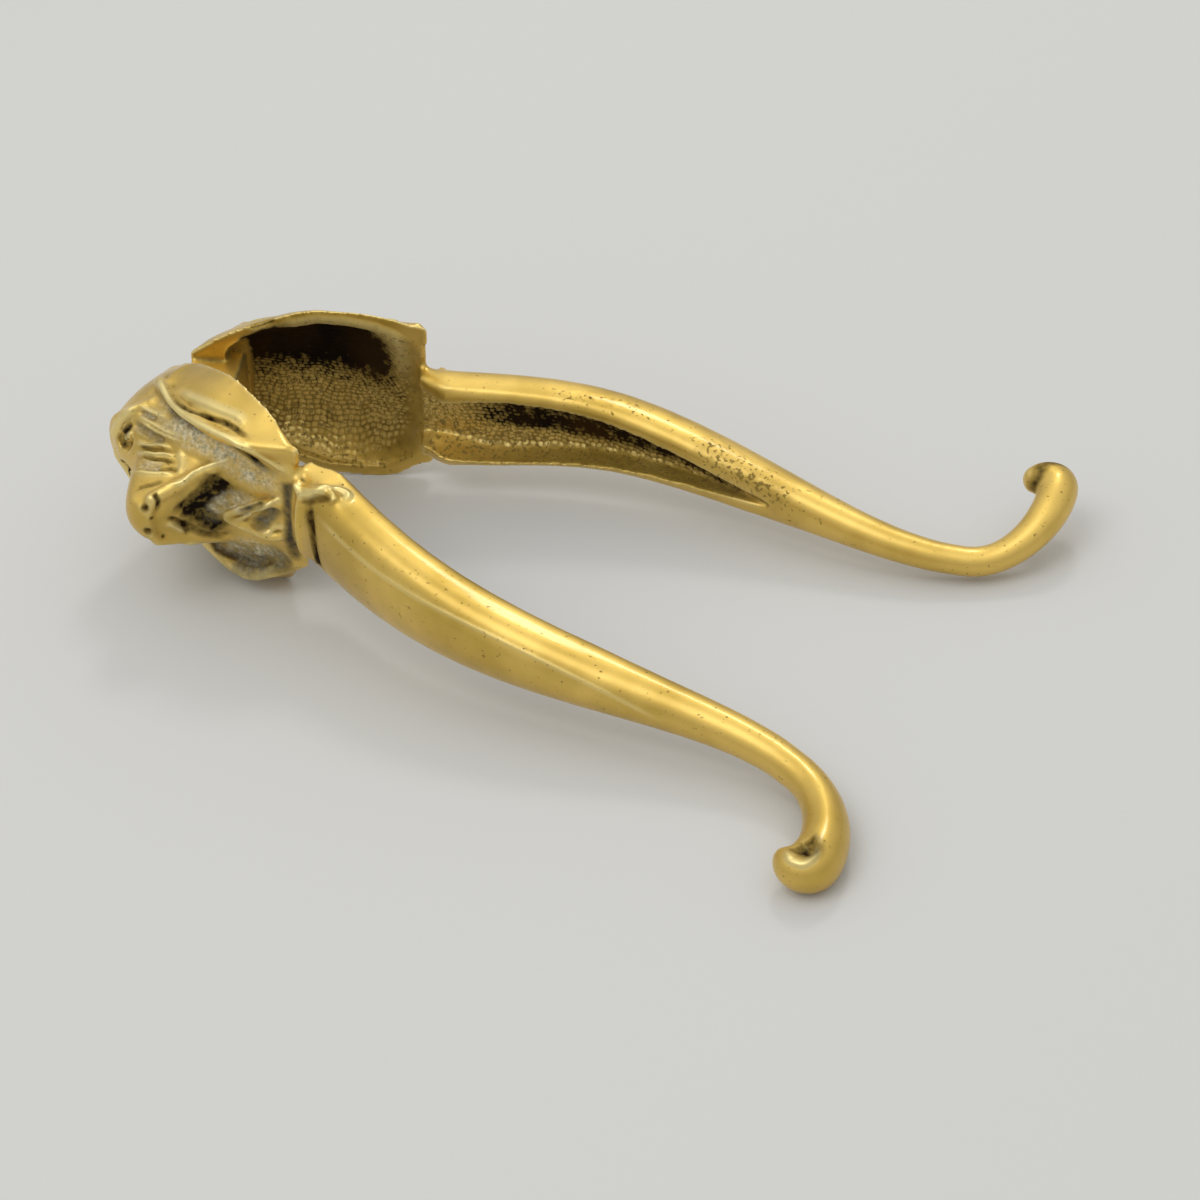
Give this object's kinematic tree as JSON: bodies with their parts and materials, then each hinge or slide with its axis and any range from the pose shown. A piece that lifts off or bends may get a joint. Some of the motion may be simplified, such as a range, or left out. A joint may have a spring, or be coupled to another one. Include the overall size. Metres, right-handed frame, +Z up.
{
  "type": "dog nutcracker",
  "caption": "Antique cast-brass lever nutcracker with a hollow dog's-head cup and scroll-ended handles on a pinned hinge, lying open.",
  "frame": {"origin": "on the table, under the middle of the bounding box of the nutcracker as it lies open", "axes": "+X from the dog's head towards the scrolls, along the bisector of the two arms; +Y towards the tongue arm; +Z up from the table"},
  "size_m": [0.1436, 0.0924, 0.0344],
  "materials": {
    "cast_brass": "satin",
    "pin_brass": "satin"
  },
  "bodies": {
    "fork": {"fork_arm": "cast_brass", "hinge_pin": "pin_brass"},
    "tongue": {"tongue_arm": "cast_brass"}
  },
  "joints": [
    {"name": "lever_hinge", "type": "hinge", "parent": "fork", "child": "tongue", "pos_m": [-0.05909, -0.00921, 0.01906], "axis": [0.1399, 0, 0.9902], "range_deg": [-22, 28]}
  ]
}
